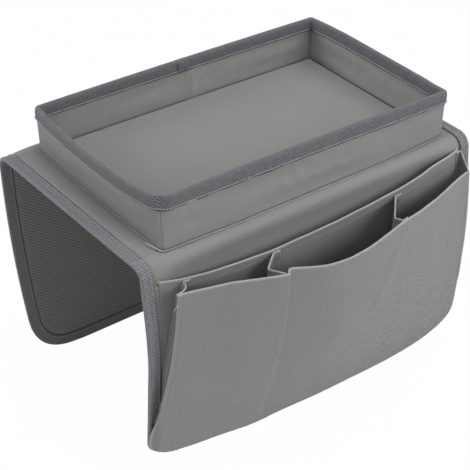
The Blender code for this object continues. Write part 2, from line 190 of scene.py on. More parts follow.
# Pockets
pocket_edge_drops = (
    (-0.157, 0.0016), (-0.130, 0.0012), (-0.110, -0.0002), (-0.0634, 0.0020), (-0.053, 0.0034),
    (-0.042, 0.0050), (-0.030, 0.0061), (-0.010, 0.0060), (0.010, 0.0041), (0.030, 0.0012), (0.042, 0.0),
    (0.052, -0.0008), (0.063, 0.0), (0.077, 0.0018), (0.091, 0.0030), (0.106, 0.0048), (0.121, 0.0058),
    (0.158, 0.0058))
pocket_left_spread = (0.0044, 0, 0.9)
pocket_right_spread = (0.0016, 0.55, 0.25)
panel_edge = 0.0040
panel_groove = 0.00045
# Soft ridges as (place, lean, width, height, start, reach)
panel_ridges = (
    (0.062, -0.085, 0.0070, 0.0014, 0.20, 0.24),
    (-0.030, 0.030, 0.0200, 0.0010, 0.45, 0.30),
    (0.118, -0.030, 0.0140, 0.0007, 0.35, 0.25))
foot_crease = (1, -0.55, 0.45)
foot_lip = 0.0012
creased_depth = 0.0050
foot_raise = 0.0024
corner_close = (1, 0.60, 0.22)
corner_turn = 0.0060
# Each gusset's side, width, rise of its front, curve
gussets = {"left": (-1, 0.0140, 0.0, 2.0), "right": (1, -0.0050, 0.0105, 1.0)}
gusset_narrowing = 6
hem_stitch = 0.0085
edge_stitch = 0.0022
magazine_rows = (0.0052, 0.0068)
magazine_tacks = ((-0.050, -0.040), (0.081, 0.092))
tack_rows = (0.0125, 0.0150)
divider_tack = 0.0570
thread_tails = ((-0.0060, -0.0022, 0.0008), (-0.0032, -0.0050, -0.0006))

# Tray
lean_zone = 0.060
right_lean = ((-0.094, 0.0042), (-0.078, 0.0038), (-0.062, 0.0046), (0.003, 0.0050), (0.045, 0.0053),
              (0.069, 0.0041), (0.086, 0.0024), (0.094, 0.0015))
back_lean = 0.0026
back_end_share = 0.60
corner_shift = 0.0036
corner_shift_run = 0.026
corner_round = 0.015
wall_foot = ((-0.150, 0.0080), (-0.080, 0.0090), (0.000, 0.0076), (0.080, 0.0064), (0.150, 0.0012))
foot_zone = 0.050
wall_slack = {1: (0.0009, 0.0008), -1: (0.0003, 0.0005)}
wall_crease = (-0.0007, 0.0007)
# Painted light: the inner walls' cloth is drawn lighter all over
inner_wall_painted_light = 0.38
# Painted shade in a band along the inner walls' foot, where they meet the floor: its strength and height
inner_foot_painted_shade = 1.0
inner_foot_shade_height = 0.0030
# Painted shade along the inner walls' corners: strength and width
inner_corner_painted_shade = (0.7, 0.0018)
# Painted shade round the floor's edge, along the walls' foot: strength and width
floor_edge_painted_shade = (1.1, 0.0024)
mark_fade = 0.003
seam_bulge = (0.0013, 0.0095, 0.0060)
seam_calm = (1, 0.0140, 0.0160)
wall_seam = (0.0040, 0.0085)
wall_fold = (0.0100, 0.0190)
wall_board_drop = 0.0016
board_end = 0.0045
rim_crown = 0.00030
rim_rise = 0.0008
rim_stitch = 0.0093
rim_thread = 0.00042
fold_thread = 0.00036
lap_span = (-0.0075, 0.0065)
lap_proud = 0.0007
lip_profile = ((0.0002, 0.0004), (0.0006, 0.0007), (0.0010, 0.0008), (0.0014, 0.0007), (0.0017, 0.0004),
               (0.0018, 0.0003))
lip_thickness = 0.0006
# Painted highlight: the base seam's lip is drawn lighter
lip_painted_highlight = 0.12
lip_thread = 0.00055

# Light and stage; each lamp's azimuth counts from straight in front towards the right
lamp_distance = 1.7
lamp_size = 0.9
lamps = (
    ("lamp_back_left", -120, 25, 11.2),
    ("lamp_left", -60, 25, 2.7),
    ("lamp_front", 20, 25, 9.9),
    ("lamp_front_low", 30, 8, 3.5),
    ("lamp_right", 90, 55, 5.8),
    ("lamp_top", 0, 85, 12.5),
)
ambient = 0.10
floor_reach = 6.0
floor_height = -0.2145
floor_white = 0.985


# Curves and the saddle's shape


def unit(value):
    return np.clip(value, 0, 1)


def smooth(value):
    share = unit(value)
    return share * share * (3 - 2 * share)


def ramp(value, amount, start, run):
    return amount * smooth((value - start) / run)


def bell(value, amount, middle, width):
    return amount * np.exp(-(((value - middle) / width) ** 2))


def table(value, pairs):
    return np.interp(value, *zip(*pairs))


def vectors(u, v, w=0.0):
    return np.stack([a + 0.0 for a in np.broadcast_arrays(u, v, w)], -1)


def unit_rows(rows):
    return rows / np.linalg.norm(rows, axis=1)[:, None]


def lengths_along(line):
    steps = np.linalg.norm(np.diff(line, axis=0), axis=1)
    return np.concatenate([[0.0], np.cumsum(steps)])


def ripples(u, v, slack, seed):
    """Smooth unevenness with the height and the length of waves that slack gives."""
    chance = np.random.default_rng(seed)
    height, size = slack
    total = np.zeros(np.broadcast(u, v).shape)
    for _ in range(7):
        turn, shift = chance.uniform(0, 2 * pi, 2)
        wave = 2 * pi / (size * chance.uniform(0.7, 1.6))
        total = total + np.sin(wave * (u * cos(turn) + v * sin(turn)) + shift)
    return height * total / 4


def arc_of(flap):
    return flap.angle * (fold_radius + stack / 2)


def top_of(flap):
    """Where a flap's cloth starts on the deck, counted down from the fold's end."""
    return deck_end - half_deck - arc_of(flap)


def lift(flap, x, down):
    share = unit(down / flap.length)
    skewed = share * (1 + bow_skew * (1 - share))
    return flap.bow * np.sin(pi * skewed) + flap.swing * (1 - (x / half_width) ** 2) * share ** 2


def shoulder(flap, x, turned):
    """How much further out the cloth's bend runs than a circle: the board's edge keeps it square."""
    powers = np.cos(turned * pi / 2) ** square_power + np.sin(turned * pi / 2) ** square_power
    if flap.side > 0:
        kept = 1 - 0.8 * (1 - smooth((half_width + x) / square_fade))
    else:
        kept = smooth((half_width - square_margin - np.abs(x)) / square_fade)
    return kept * (powers ** (-1 / square_power) - 1)


def hang(flap, x, down):
    """The slight skew of each flap in the photograph, as shifts along x and down."""
    share = unit(down / flap.length)
    leftward = unit(-x / half_width)
    if flap.side < 0:
        amount, start, run = front_drop
        lower = amount * unit((x - start) / run) - bell(x, *front_raise) + ramp(x, *front_extra_drop)
        spread = flap.taper * share ** 2 + ramp(share, *front_spread)
        return -spread * leftward, lower * share
    return -back_spread * np.sin(pi * share) * leftward, ramp(x, *back_drop) * share


def drape(flap, x, run, offset):
    """A point of the saddle: run is the way down from the fold's end, below zero up over the fold."""
    x, run, offset = np.broadcast_arrays(*(np.asarray(a, float) for a in (x, run, offset)))
    arc = arc_of(flap)
    turned = unit(1 + run / arc)
    angle = turned * flap.angle
    aside, lower = hang(flap, x, np.maximum(run, 0))
    down = np.maximum(run, 0) + lower
    onto = np.minimum(run + arc, 0)
    soft = np.sqrt(down ** 2 + fold_ease ** 2) - fold_ease
    radius = (fold_radius + offset) * (1 + shoulder(flap, x, turned)) + lift(flap, x, soft)
    y = flap.side * (half_deck + radius * np.sin(angle) + down * cos(flap.angle) + onto)
    z = radius * np.cos(angle) - fold_radius - down * sin(flap.angle)
    return vectors(x + aside, y, z)


def tongue_half(flap, down, inset):
    down = np.maximum(np.asarray(down, float), 0)
    straight = flap.length - flap.corner_height
    drop = unit((down - straight) / (flap.corner_height - inset))
    reach = (1 - drop ** corner_power) ** (1 / corner_power)
    narrow = flap.taper * (down / flap.length) ** 2
    return half_width - narrow - flap.corner_width + (flap.corner_width - inset) * reach


def runs(flap, inset, start, step):
    """Distances down a flap to its lower edge, close together over the fold and round the corners."""
    straight = flap.length - flap.corner_height
    below = max(start, fold_end)
    side = np.linspace(below, straight, max(2, round((straight - below) / step)))
    if start < 0:
        side = np.concatenate([np.linspace(start, below, round((below - start) / fold_step))[:-1], side])
    shares = np.sin(np.linspace(0, pi / 2, 22)[1:]) ** (2 / corner_power)
    return np.concatenate([side, straight + (flap.corner_height - inset) * shares])


def outline(flap, inset, start, step, columns):
    """x and run down one side, round the bottom and up the other."""
    run = runs(flap, inset, start, step)
    half = tongue_half(flap, run, inset)
    bottom = np.linspace(-half[-1], half[-1], columns + 1)[1:-1]
    x = np.concatenate([-half, bottom, half[::-1]])
    return x, np.concatenate([run, np.full(len(bottom), run[-1]), run[::-1]])


def seam_on(flap, x, down, offset, raised=0.001):
    """Points of a seam on a flap and the directions out of it."""
    line = drape(flap, x, down, offset)
    return line, unit_rows(drape(flap, x, down, offset + raised) - line)


# Meshes


def faces_of(rows, columns, first=0, ring=False):
    r, c = np.meshgrid(np.arange(rows - 1), np.arange(columns if ring else columns - 1), indexing="ij")
    right = (c + 1) % columns
    a, b = first + r * columns + c, first + r * columns + right
    d, e = first + (r + 1) * columns + c, first + (r + 1) * columns + right
    return np.stack([a, b, e, d], -1).reshape(-1, 4)


def new_object(name, data):
    item = bpy.data.objects.new(name, data)
    bpy.context.scene.collection.objects.link(item)
    return item


def mesh_piece(name, points, faces, material, weave=None, weld=False):
    mesh = bpy.data.meshes.new(name)
    mesh.from_pydata(points.reshape(-1, 3).tolist(), [], faces)
    if weave is not None:
        layer = mesh.attributes.new("weave", "FLOAT_VECTOR", "POINT")
        layer.data.foreach_set("vector", weave.reshape(-1).astype(np.float32))
    edit = bmesh.new()
    edit.from_mesh(mesh)
    if weld:
        bmesh.ops.remove_doubles(edit, verts=edit.verts[:], dist=0.00001)
    bmesh.ops.recalc_face_normals(edit, faces=edit.faces[:])
    edit.to_mesh(mesh)
    edit.free()
    mesh.materials.append(material)
    mesh.shade_smooth()
    return new_object(name, mesh)


def cloth_piece(name, field, weave, material, thickness=cloth, rim=None, rim_weave=None, ring=False):
    """A closed sheet of cloth from a grid of points, with a welded rim where one is given."""
    field, weave = np.array(field), np.array(weave)
    faces = faces_of(*field.shape[:2], 0, ring)
    points, weaves = field.reshape(-1, 3), weave.reshape(-1, 3)
    if rim is not None:
        rim, rim_weave = np.array(rim), np.array(rim_weave)
        faces = np.concatenate([faces, faces_of(*rim.shape[:2], len(points))])
        points = np.concatenate([points, rim.reshape(-1, 3)])
        weaves = np.concatenate([weaves, rim_weave.reshape(-1, 3)])
    item = mesh_piece(name, points, faces.tolist(), material, weaves, weld=rim is not None)
    solid = item.modifiers.new("thickness", "SOLIDIFY")
    solid.thickness = thickness
    solid.offset = 0.0
    bpy.context.view_layer.objects.active = item
    for other in bpy.context.selected_objects:
        other.select_set(False)
    item.select_set(True)
    bpy.ops.object.modifier_apply(modifier=solid.name)
    return item


def with_hem(field, weave, depth, behind, away):
    """The cloth's first row turned over behind it: the hem and its rolled edge, then the field."""
    roll = [(-behind / 2 * sin(t), behind / 2 * (1 - cos(t))) for t in np.linspace(pi, 0, 8)[:-1]]
    turned = [(lower, behind) for lower in (depth, depth * 0.6, 0.0024, hem_roll_band)] + roll
    steps = np.linalg.norm(np.diff(field, axis=0), axis=2)
    far = np.concatenate([np.zeros((1, field.shape[1])), np.cumsum(steps, axis=0)])
    down = unit_rows(field[2] - field[0])
    normal = unit_rows(np.cross(down, np.gradient(field[1], axis=0)))
    if np.mean(normal @ np.array(away)) < 0:
        normal = -normal
    hem, marks = [], []
    for lower, back in turned:
        at = [[np.interp(max(lower, 0), far[:, c], field[:, c, k]) for k in range(3)]
              for c in range(field.shape[1])]
        hem.append(np.array(at) + normal * back + down * min(lower, 0))
        # Painted highlight along the hem's rolled fold
        marks.append(vectors(weave[0, :, 0], weave[0, :, 1] + lower + back, unit(1 - lower / hem_roll_band)))
    # Painted highlight along the cloth's edge
    lit = weave.copy()
    lit[..., 2] = np.maximum(lit[..., 2], unit(1 - far / edge_highlight_band))
    return np.concatenate([np.array(hem), field]), np.concatenate([np.array(marks), lit])


def rings_round(centre, side, other, radius):
    turn = np.linspace(0, 2 * pi, thread_sides + 1)[:-1]
    way = np.cos(turn)[None, :, None] * side[:, None] + np.sin(turn)[None, :, None] * other[:, None]
    return (centre[:, None] + np.reshape(radius, (-1, 1, 1)) * way).reshape(-1, 3)


def thread_end(path, radius):
    """Points round a loose thread."""
    tangent = unit_rows(np.gradient(path, axis=0))
    side = unit_rows(np.cross(tangent, [0.31, 0.87, 0.38]))
    return rings_round(path, side, np.cross(tangent, side), radius)


def stitches(name, lines, material, pitch=stitch_pitch, length=stitch_length, radius=thread_radius, tails=()):
    """Rows of sewn stitches, each line (points, normals) along the seam, and the ends of loose thread."""
    heights, widths = np.array(stitch_shape).T * radius
    threads = []
    for line, normals in lines:
        along = lengths_along(line)
        for start in np.arange(pitch / 2, along[-1] - length, pitch):
            at = start + np.linspace(0, length, len(stitch_shape))
            centre, normal = (np.stack([np.interp(at, along, column) for column in rows.T], -1)
                              for rows in (line, normals))
            normal = unit_rows(normal)
            tangent = centre[-1] - centre[0]
            side = np.cross(tangent / np.linalg.norm(tangent), normal)
            threads.append(rings_round(centre + normal * heights[:, None], side, normal, widths))
    threads += [thread_end(path, radius) for path in tails]
    faces, first = [], 0
    for points in threads:
        faces += faces_of(len(points) // thread_sides, thread_sides, first, ring=True).tolist()
        last = first + len(points)
        faces.append(list(range(first, first + thread_sides)))
        faces.append(list(range(last - 1, last - thread_sides - 1, -1)))
        first = last
    return mesh_piece(name, np.concatenate(threads), faces, material)


def settle(item, nodes, kind, body=None, **sheet):
    """Hide the nodes that a piece stands for and attach it to its body unless it bends; kind and its flat size
    as a sheet are not used.
    """
    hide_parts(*nodes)
    if body:
        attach(item, body)
    return item


# Materials


class Nodes:
    """A node tree, with its sums and products written short."""

    def __init__(self, tree):
        self.tree = tree

    def feed(self, item, inputs):
        for key, value in inputs.items():
            if isinstance(value, bpy.types.NodeSocket):
                self.tree.links.new(value, item.inputs[key])
            else:
                item.inputs[key].default_value = value

    def add(self, kind, inputs=None, **settings):
        item = self.tree.nodes.new(kind)
        for key, value in settings.items():
            setattr(item, key, value)
        self.feed(item, inputs or {})
        return item

    def maths(self, operation, a, b=0.0, c=0.0):
        return self.add("ShaderNodeMath", {0: a, 1: b, 2: c}, operation=operation).outputs[0]

    def times(self, first, *others):
        for other in others:
            first = self.maths("MULTIPLY", first, other)
        return first

    def plus(self, first, *others):
        for other in others:
            first = self.maths("ADD", first, other)
        return first

    def minus(self, a, b):
        return self.maths("SUBTRACT", a, b)

    def wave(self, value, pitch):
        """A wave from -1 to 1 of a length given in metres."""
        return self.maths("SINE", self.maths("MULTIPLY_ADD", value, 2 * pi / pitch))

    def noise(self, place, scale, detail):
        inputs = {"Vector": place, "Scale": scale, "Detail": detail}
        return self.add("ShaderNodeTexNoise", inputs).outputs["Fac"]

    def tinted(self, color, tone):
        return self.add("ShaderNodeVectorMath", {0: color, "Scale": tone}, operation="SCALE").outputs[0]

    def bump(self, height, strength, distance):
        inputs = {"Height": height, "Strength": strength, "Distance": distance}
        return self.add("ShaderNodeBump", inputs).outputs[0]

    def seen(self):
        """1 for the rays that show the background itself."""
        path = self.add("ShaderNodeLightPath").outputs
        seen = self.maths("MAXIMUM", path["Is Camera Ray"], path["Is Glossy Ray"])
        return self.maths("MAXIMUM", seen, path["Is Transmission Ray"])


def new_material(name):
    material = bpy.data.materials.new(name)
    material.use_nodes = True
    return material, Nodes(material.node_tree), material.node_tree.nodes["Principled BSDF"]


def fabric(name, color, rough, sheen, weave, edge=0.0, holes_and_shadow=None):
    """Woven cloth: slanting ribs, crossing yarns, slow unevenness, painted light and shade from the weave's
    third value (highlights along edges, shade in creases) and, on tape, dark needle-hole dots with painted
    shadow.
    """
    ribs, cross, yarn, cloud, speckle = weave
    pitch, slope, rib_color, rib_bump, patchy = ribs
    cross_pitch, cross_slope, cross_color = cross
    material, n, shader = new_material(name)
    place = n.add("ShaderNodeAttribute", attribute_name="weave").outputs["Vector"]
    u, v, w = n.add("ShaderNodeSeparateXYZ", {0: place}).outputs
    drift = n.times(n.noise(place, 90.0, 2.0), pitch * 0.5)
    rib = n.wave(n.plus(u, n.times(v, slope), drift), pitch)
    counter = n.wave(n.plus(v, n.times(u, cross_slope)), cross_pitch)
    yarns = n.times(n.wave(u, yarn), n.wave(v, yarn))
    fuzz, clouds = n.noise(place, 1900.0, 3.0), n.noise(place, 24.0, 3.0)
    mottle, patches = n.noise(place, 520.0, 2.0), n.noise(place, 38.0, 1.0)
    strength = n.plus(n.times(patches, 2 * patchy), 1 - patchy)
    tone = n.plus(n.times(n.plus(n.times(rib, rib_color), n.times(counter, cross_color)), strength), 1.0)
    for source, share in ((clouds, cloud), (mottle, speckle), (fuzz, speckle * 0.7)):
        tone = n.plus(tone, n.times(n.minus(source, 0.5), share))
    tone = n.plus(tone, n.times(yarns, 0.05))
    if holes_and_shadow:
        # Dark needle-hole dots: partly the real piercings, partly painted shadow below the stitches
        inward, beat, width, dark = holes_and_shadow
        near = n.maths("LESS_THAN", n.maths("ABSOLUTE", n.minus(w, inward)), width)
        dot = n.maths("GREATER_THAN", n.wave(u, beat), 0.1)
        tone = n.minus(tone, n.times(near, dot, dark))
    else:
        # Painted light and shade from the weave's third value: lighter edges, hems and inner walls, darker
        # creases
        tone = n.plus(tone, n.times(w, edge))
    height = n.plus(n.times(yarns, 0.4), n.times(rib, rib_bump), n.times(counter, rib_bump * 0.4),
                    n.times(fuzz, 0.6))
    n.feed(shader, {
        "Base Color": n.tinted(color, tone), "Roughness": n.plus(rough, n.times(n.minus(mottle, 0.5), 0.2)),
        "Normal": n.bump(height, 0.6, 0.00015), "Sheen Weight": sheen, "Sheen Roughness": 0.45,
        "Specular IOR Level": 0.30})
    return material


def card_material():
    material, n, shader = new_material("pressed_card")
    place = n.add("ShaderNodeTexCoord").outputs["Object"]
    grain, blotch = n.noise(place, 900.0, 4.0), n.noise(place, 40.0, 2.0)
    tone = n.plus(n.times(grain, 0.3), n.times(blotch, 0.3), 0.7)
    n.feed(shader, {"Base Color": n.tinted((0.42, 0.35, 0.27), tone), "Normal": n.bump(grain, 0.4, 0.0002),
                    "Roughness": 0.9})
    return material


# Weaves as (ribs, cross ribs, yarn's pitch, clouds, speckle): ribs are (pitch, slope, colour, bump, patchiness)
# and cross ribs (pitch, slope, colour)
cover_weave = ((0.0021, 0.98, 0.16, 0.50, 0.45), (0.0019, 0.0, 0.05), 0.00062, 0.09, 0.22)
lining_weave = ((0.0045, -1.44, 0.30, 1.0, 0.35), (0.0021, 0.3, 0.08), 0.00062, 0.10, 0.22)
tape_cloth = ((0.0019, 0.75, 0.55, 1.6, 0.5), (0.0017, 0.0, 0.22), 0.0009, 0.16, 1.1)
thread_twist = ((0.0006, 1.0, 0.12, 0.8, 0.0), (0.0011, 0.0, 0.05), 0.0004, 0.05, 0.2)
# Dark needle-hole dots under the tape's stitches: partly the real piercings, partly painted shadow
needle_holes_and_shadow = (0.0005, 0.0024, 0.0008, 0.60)
OXFORD = fabric("oxford_cloth", (0.250, 0.250, 0.243), 0.74, 0.08, cover_weave, edge=0.55)
LINING = fabric("lining_cloth", (0.240, 0.240, 0.232), 0.80, 0.05, lining_weave, edge=0.4)
# Lit and shaded copies of one tape: painted shade darkens the rim's copy and painted light lightens the
# saddle's copy
SHADED_RIM_BINDING = fabric("rim_tape_painted_darker", (0.130, 0.126, 0.140), 0.66, 0.20, tape_cloth, holes_and_shadow=needle_holes_and_shadow)
LIT_BINDING = fabric("binding_tape_painted_lighter", (0.196, 0.191, 0.211), 0.66, 0.25, tape_cloth, holes_and_shadow=needle_holes_and_shadow)
THREAD = fabric("sewing_thread", (0.36, 0.355, 0.365), 0.60, 0.2, thread_twist)
FINE_THREAD = fabric("seam_thread", (0.285, 0.283, 0.280), 0.65, 0.1, thread_twist)
CARD = card_material()

# The saddle's two cloths as (layer, kind, offset, sink, material)
layers = (("cover", "oxford", stack - cloth / 2, cover_sink, OXFORD),
          ("lining", "lining", cloth / 2, -seat, LINING))


# The saddle: covers, linings and tape over the deck, the folds and the flaps


def edge_drops(thickness, sink):
    """A cloth's way in from its edge, as (inset, how far it sinks)."""
    edge = thickness / 2 + seat
    slope = [(slope_start + slope_run * run, sink * left) for run, left in cover_slope]
    return [(edge, sink), (0.6 * edge + 0.4 * slope_start, sink)] + slope


def deck_cloth(name, offset, sink, material, seed):
    insets, falls = np.array(edge_drops(edge_stack, sink)).T
    inner = half_width - slope_end
    middle = np.linspace(-inner, inner, 90)[1:-1]
    x = np.concatenate([insets - half_width, middle, half_width - insets[::-1]])
    fall = np.concatenate([falls, 0 * middle, falls[::-1]])
    xs, ys = np.meshgrid(x, np.linspace(-deck_end, deck_end, 52))
    z = offset - fall + ripples(xs, ys, deck_slack, seed) * unit((deck_end - np.abs(ys)) / 0.02)
    return cloth_piece(name, vectors(xs, ys, z), vectors(xs, ys), material)


def rim_rows(flap, start, step, columns, sink, place, mark):
    """A cloth's rim from its edge in to where its slope ends, as rows of points and of weave."""
    rims, marks = [], []
    for inset, drop in edge_drops(flap.edge, sink):
        x, down = outline(flap, inset, start, step, columns)
        rims.append(place(x, down, drop))
        marks.append(mark(x, down))
    return {"rim": rims, "rim_weave": marks}


def flap_cloth(name, flap, offset, sink, material):
    run = runs(flap, slope_end, top_of(flap), flap_step)[:, None]
    x = tongue_half(flap, run, slope_end) * np.linspace(-1, 1, flap_columns + 1)

    def place(x, down, drop=0.0):
        return drape(flap, x, down, offset - drop)

    def mark(x, down):
        return vectors(x, flap.side * (half_deck + arc_of(flap) + down))

    rim = rim_rows(flap, top_of(flap), flap_step, flap_columns, sink, place, mark)
    return cloth_piece(name, place(x, run), mark(x, run), material, **rim)


def tape_profile(thickness):
    """Middle line of the folded tape as insets and offsets: a flat leg, a sewn groove, a bead at the edge."""
    bottom = seat - gap - cloth / 2
    top = seat + np.asarray(thickness, float) + gap + cloth / 2
    radius, centre = (top - bottom) / 2, (top + bottom) / 2
    leg = np.concatenate([np.linspace(tape_reach, tape_bead + 0.0009, 7),
                          np.linspace(tape_bead, cloth / 2 + 0.0022, 5)])
    flat = np.sin(pi * unit((tape_reach - leg) / (tape_reach - tape_bead)))
    bead = np.sin(pi * unit((tape_bead - leg) / (tape_bead - cloth / 2)))
    crown = leg_crown * flat + bead_crown * bead - bell(leg, groove_depth, tape_bead, groove_width)
    inset, offset = list(leg), [top + c for c in crown]
    tuck = bead_crown * bead[-1]
    for turn in np.linspace(0, pi, 10):
        inset.append(np.mean(cloth / 2 + radius - radius * sin(turn)))
        offset.append(centre + (radius + tuck * max(0.0, cos(turn))) * cos(turn))
    under = leg[::-1]
    return inset + list(under), offset + [bottom - 0.5 * c for c in crown[::-1] * (under > tape_bead)]


def freedom(inset):
    """How much the tape's long edge wanders at this inset, from 0 to 1."""
    return unit((inset - free_start) / (tape_reach - free_start))


def tape_piece(name, along, rows, material=LIT_BINDING, kept=slice(None), ring=False):
    """A tape; its weave runs along it, across from its folded edge, and in from its nearer long edge."""
    rows = np.array(rows)
    steps = [np.median(np.linalg.norm(b - a, axis=1)) for a, b in zip(rows, rows[1:])]
    across = np.concatenate([[0.0], np.cumsum(steps)])[:, None]
    total = across[-1, 0]
    weave = vectors(along, across - total / 2, np.minimum(across, total - across))
    return cloth_piece(name, rows[:, kept], weave[:, kept], material, ring=ring)


def flap_tape(name, flap):
    where = (top_of(flap), 0.0022, 130)
    x, run = outline(flap, 0.0, *where)
    thickness = edge_stack + (flap.edge - edge_stack) * unit(1 + run / arc_of(flap))
    along = lengths_along(drape(flap, x, run, 0.002))
    rows = []
    for k, (inset, offset) in enumerate(zip(*tape_profile(thickness))):
        x, run = outline(flap, inset, *where)
        x = x - np.sign(x) * freedom(inset) * ripples(along, 0, tape_wander, 11 + flap.side)
        rows.append(drape(flap, x, run, offset + ripples(along, k, tape_puff, 5)))
    return tape_piece(name, along, rows)


def deck_tape(name, side):
    y = np.linspace(-deck_end, deck_end, 100)
    tame = unit((deck_end - np.abs(y)) / 0.01)
    rows = []
    for k, (inset, offset) in enumerate(zip(*tape_profile(edge_stack))):
        x = side * (half_width - inset - freedom(inset) * ripples(y, 0, tape_wander, 21 + side) * tame)
        rows.append(vectors(x, y, offset + ripples(y, k, tape_puff, 6) * tame))
    return tape_piece(name, y, rows)


def thread_top(thickness):
    return seat + thickness + gap + cloth + thread_lift


def make_deck():
    for seed, word, (layer, kind, *shape) in zip((1, 2), ("top", "under"), layers):
        settle(deck_cloth(f"deck_{word}_cloth", *shape, seed), [f"deck_{layer}"], kind, "deck",
               flat=(0.346, 0.196), held="stretched", rests_on=["deck_board"])
    y = np.linspace(-deck_end, deck_end, 120)
    lines = []
    for side, word in ((-1, "left"), (1, "right")):
        settle(deck_tape(f"deck_tape_{word}", side), [f"deck_binding_{word}"], "tape", "deck",
               flat=(0.025, 0.196), held="folded", rests_on=["deck_top_cloth", "deck_under_cloth"])
        for height, up in ((thread_top(edge_stack), 1.0), (-under_lift, -1.0)):
            lines.append((vectors(side * (half_width - stitch_inset), y, height), vectors(0 * y, 0, up)))
    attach(stitches("deck_tape_stitches", lines, THREAD), "deck")


def make_flap(flap):
    word = flap.word
    cloths = []
    for layer, kind, *shape in layers:
        item = flap_cloth(f"{word}_{layer}_cloth", flap, *shape)
        cloths.append(settle(item, [f"{word}_fold_{layer}", f"{word}_flap_{layer}"], kind))
    tape = flap_tape(f"{word}_tape", flap)
    settle(tape, [f"{word}_fold_binding_left", f"{word}_fold_binding_right", f"{word}_flap_binding"], "tape")
    x, run = outline(flap, stitch_inset, top_of(flap), 0.0015, 150)
    high = thread_top(edge_stack + (flap.edge - edge_stack) * unit(1 + run / arc_of(flap)))
    line, normal = seam_on(flap, x, run, -under_lift)
    seams = stitches(f"{word}_tape_stitches", [seam_on(flap, x, run, high), (line, -normal)], THREAD)
    end = Vector((0.0, flap.side * (half_deck + fold_radius * sin(flap.angle)),
                  fold_radius * cos(flap.angle) - fold_radius))
    for item in (*cloths, tape, seams):
        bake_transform(item)


# Magazine pocket


def magazine_drop(share, down):
    dip = magazine_sag * np.maximum(0, 1 - (share / magazine_sag_reach) ** 2) - magazine_tilt * share
    return (dip + table(share, magazine_edge_drops)) * np.maximum(0, 1 - down / magazine_depth)


def magazine_offset(x, down):
    arch = np.maximum(0, 1 - (x / (half_width - slope_end)) ** 4)
    return magazine_seat + magazine_bulge * arch * np.maximum(0, 1 - down / magazine_depth) ** 1.5


def magazine_point(x, down, share, sink=0.0):
    low = down + np.maximum(-magazine_rise, magazine_drop(share, down))
    wrinkle = ripples(x, low * 0.5, magazine_slack, 31) * np.clip(1 - np.abs(share), 0, 0.2) * 5
    return drape(FRONT, x, low, magazine_offset(x, low) - sink + wrinkle)


def magazine_seam(x, below):
    """A seam on the magazine panel's face, that far below its edge."""
    share = x / tongue_half(FRONT, magazine_top, slope_end)
    low = magazine_top + np.maximum(-magazine_rise, magazine_drop(share, magazine_top)) + below
    return seam_on(FRONT, x, low, magazine_offset(x, low) + cloth / 2, 0.002 - cloth / 2)


def make_magazine():
    step, columns = 0.003, 120
    run = np.concatenate([magazine_top + np.array([0.0, 0.0007, 0.0014, 0.0024]),
                          runs(FRONT, slope_end, magazine_top + 0.004, step)])[:, None]
    share = np.linspace(-1, 1, columns + 1)
    x = tongue_half(FRONT, run, slope_end) * share
    field, weave = with_hem(magazine_point(x, run, share), vectors(x, -run), hem_depth, hem_hang, (0, 1, 0))
    rim = rim_rows(FRONT, magazine_top, step, columns, cover_sink,
                   lambda x, down, drop: magazine_point(x, down, np.sign(x), drop),
                   lambda x, down: vectors(x, -down))
    settle(cloth_piece("magazine_panel_cloth", field, weave, OXFORD, **rim), ["magazine_pocket_panel"],
           "oxford", "front_flap", flat=(0.346, 0.205), held="hung", rests_on=["front_flap_board"])
    x = np.linspace(-0.158, 0.158, 260)
    lines = [magazine_seam(x, below) for below in magazine_rows]
    lines += [magazine_seam(x[(x > a) & (x < b)], below) for a, b in magazine_tacks for below in tack_rows]
    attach(stitches("magazine_hem_stitches", lines, FINE_THREAD), "front_flap")


# Bellows pockets


def pocket_half(share):
    down = pocket_top + (pocket_end - pocket_top) * share
    inset = pocket_top_inset + (pocket_bottom_inset - pocket_top_inset) * share
    return np.minimum(half_width - inset, tongue_half(FRONT, down, pocket_side_inset))


def pocket_x(across, share):
    leftward = ramp(share, *pocket_left_spread) * unit(-across) ** 3
    rightward = ramp(share, *pocket_right_spread) * unit(across) ** 3
    return across * pocket_half(share) + pocket_shift * (1 - share) - leftward + rightward


def pocket_across(x, share):
    return (x - pocket_shift * (1 - share)) / pocket_half(share)


def from_side(across, share):
    return (1 - np.abs(across)) * pocket_half(share)


def pocket_place(across, share):
    """x, distance down and offset of the front panel's middle surface."""
    across, share = np.broadcast_arrays(np.asarray(across, float), np.asarray(share, float))
    away = (across - pocket_across(pleat_place, 0.0)) * pocket_half(share)
    side = np.tanh(away / pleat_edge)
    top = pocket_top + pocket_sag * (1 - across ** 2) + left_pocket_drop * (1 - side) / 2
    top = top + table(across * pocket_half(0.0) + pocket_shift, pocket_edge_drops)
    down = top + (pocket_end - top) * share
    down = down - ramp(-across, foot_raise, 0.55, 0.25) * ramp(share, 1, 0.6, 0.4)
    end = pocket_end_depth * (1 - share) ** 2
    belly = pocket_belly * np.maximum(0, 1 - across ** 2) ** 1.5 * np.maximum(0, 1 - share ** 2) ** 0.8
    pleat = bell(away, pleat_depth, 0, pleat_run) * (1 + side) / 2 * (1 - share) ** 0.7
    turn = unit(1 - (pocket_end - down) / foot_run)
    creased = 1 - ramp(across, *foot_crease)
    foot = foot_depth * (1 - creased) * np.sqrt(1 - turn ** 2) + creased_depth * creased * (1 - turn)
    foot = foot + bell(turn, foot_lip, 0, 0.3) * creased * smooth(share / 0.9)
    inward = unit(from_side(across, share) / corner_turn)
    foot = foot * (1 - ramp(share, *corner_close) * (1 - np.sqrt(1 - (1 - inward) ** 2)))
    return pocket_x(across, share), down, foot_offset + end + belly + foot - pleat


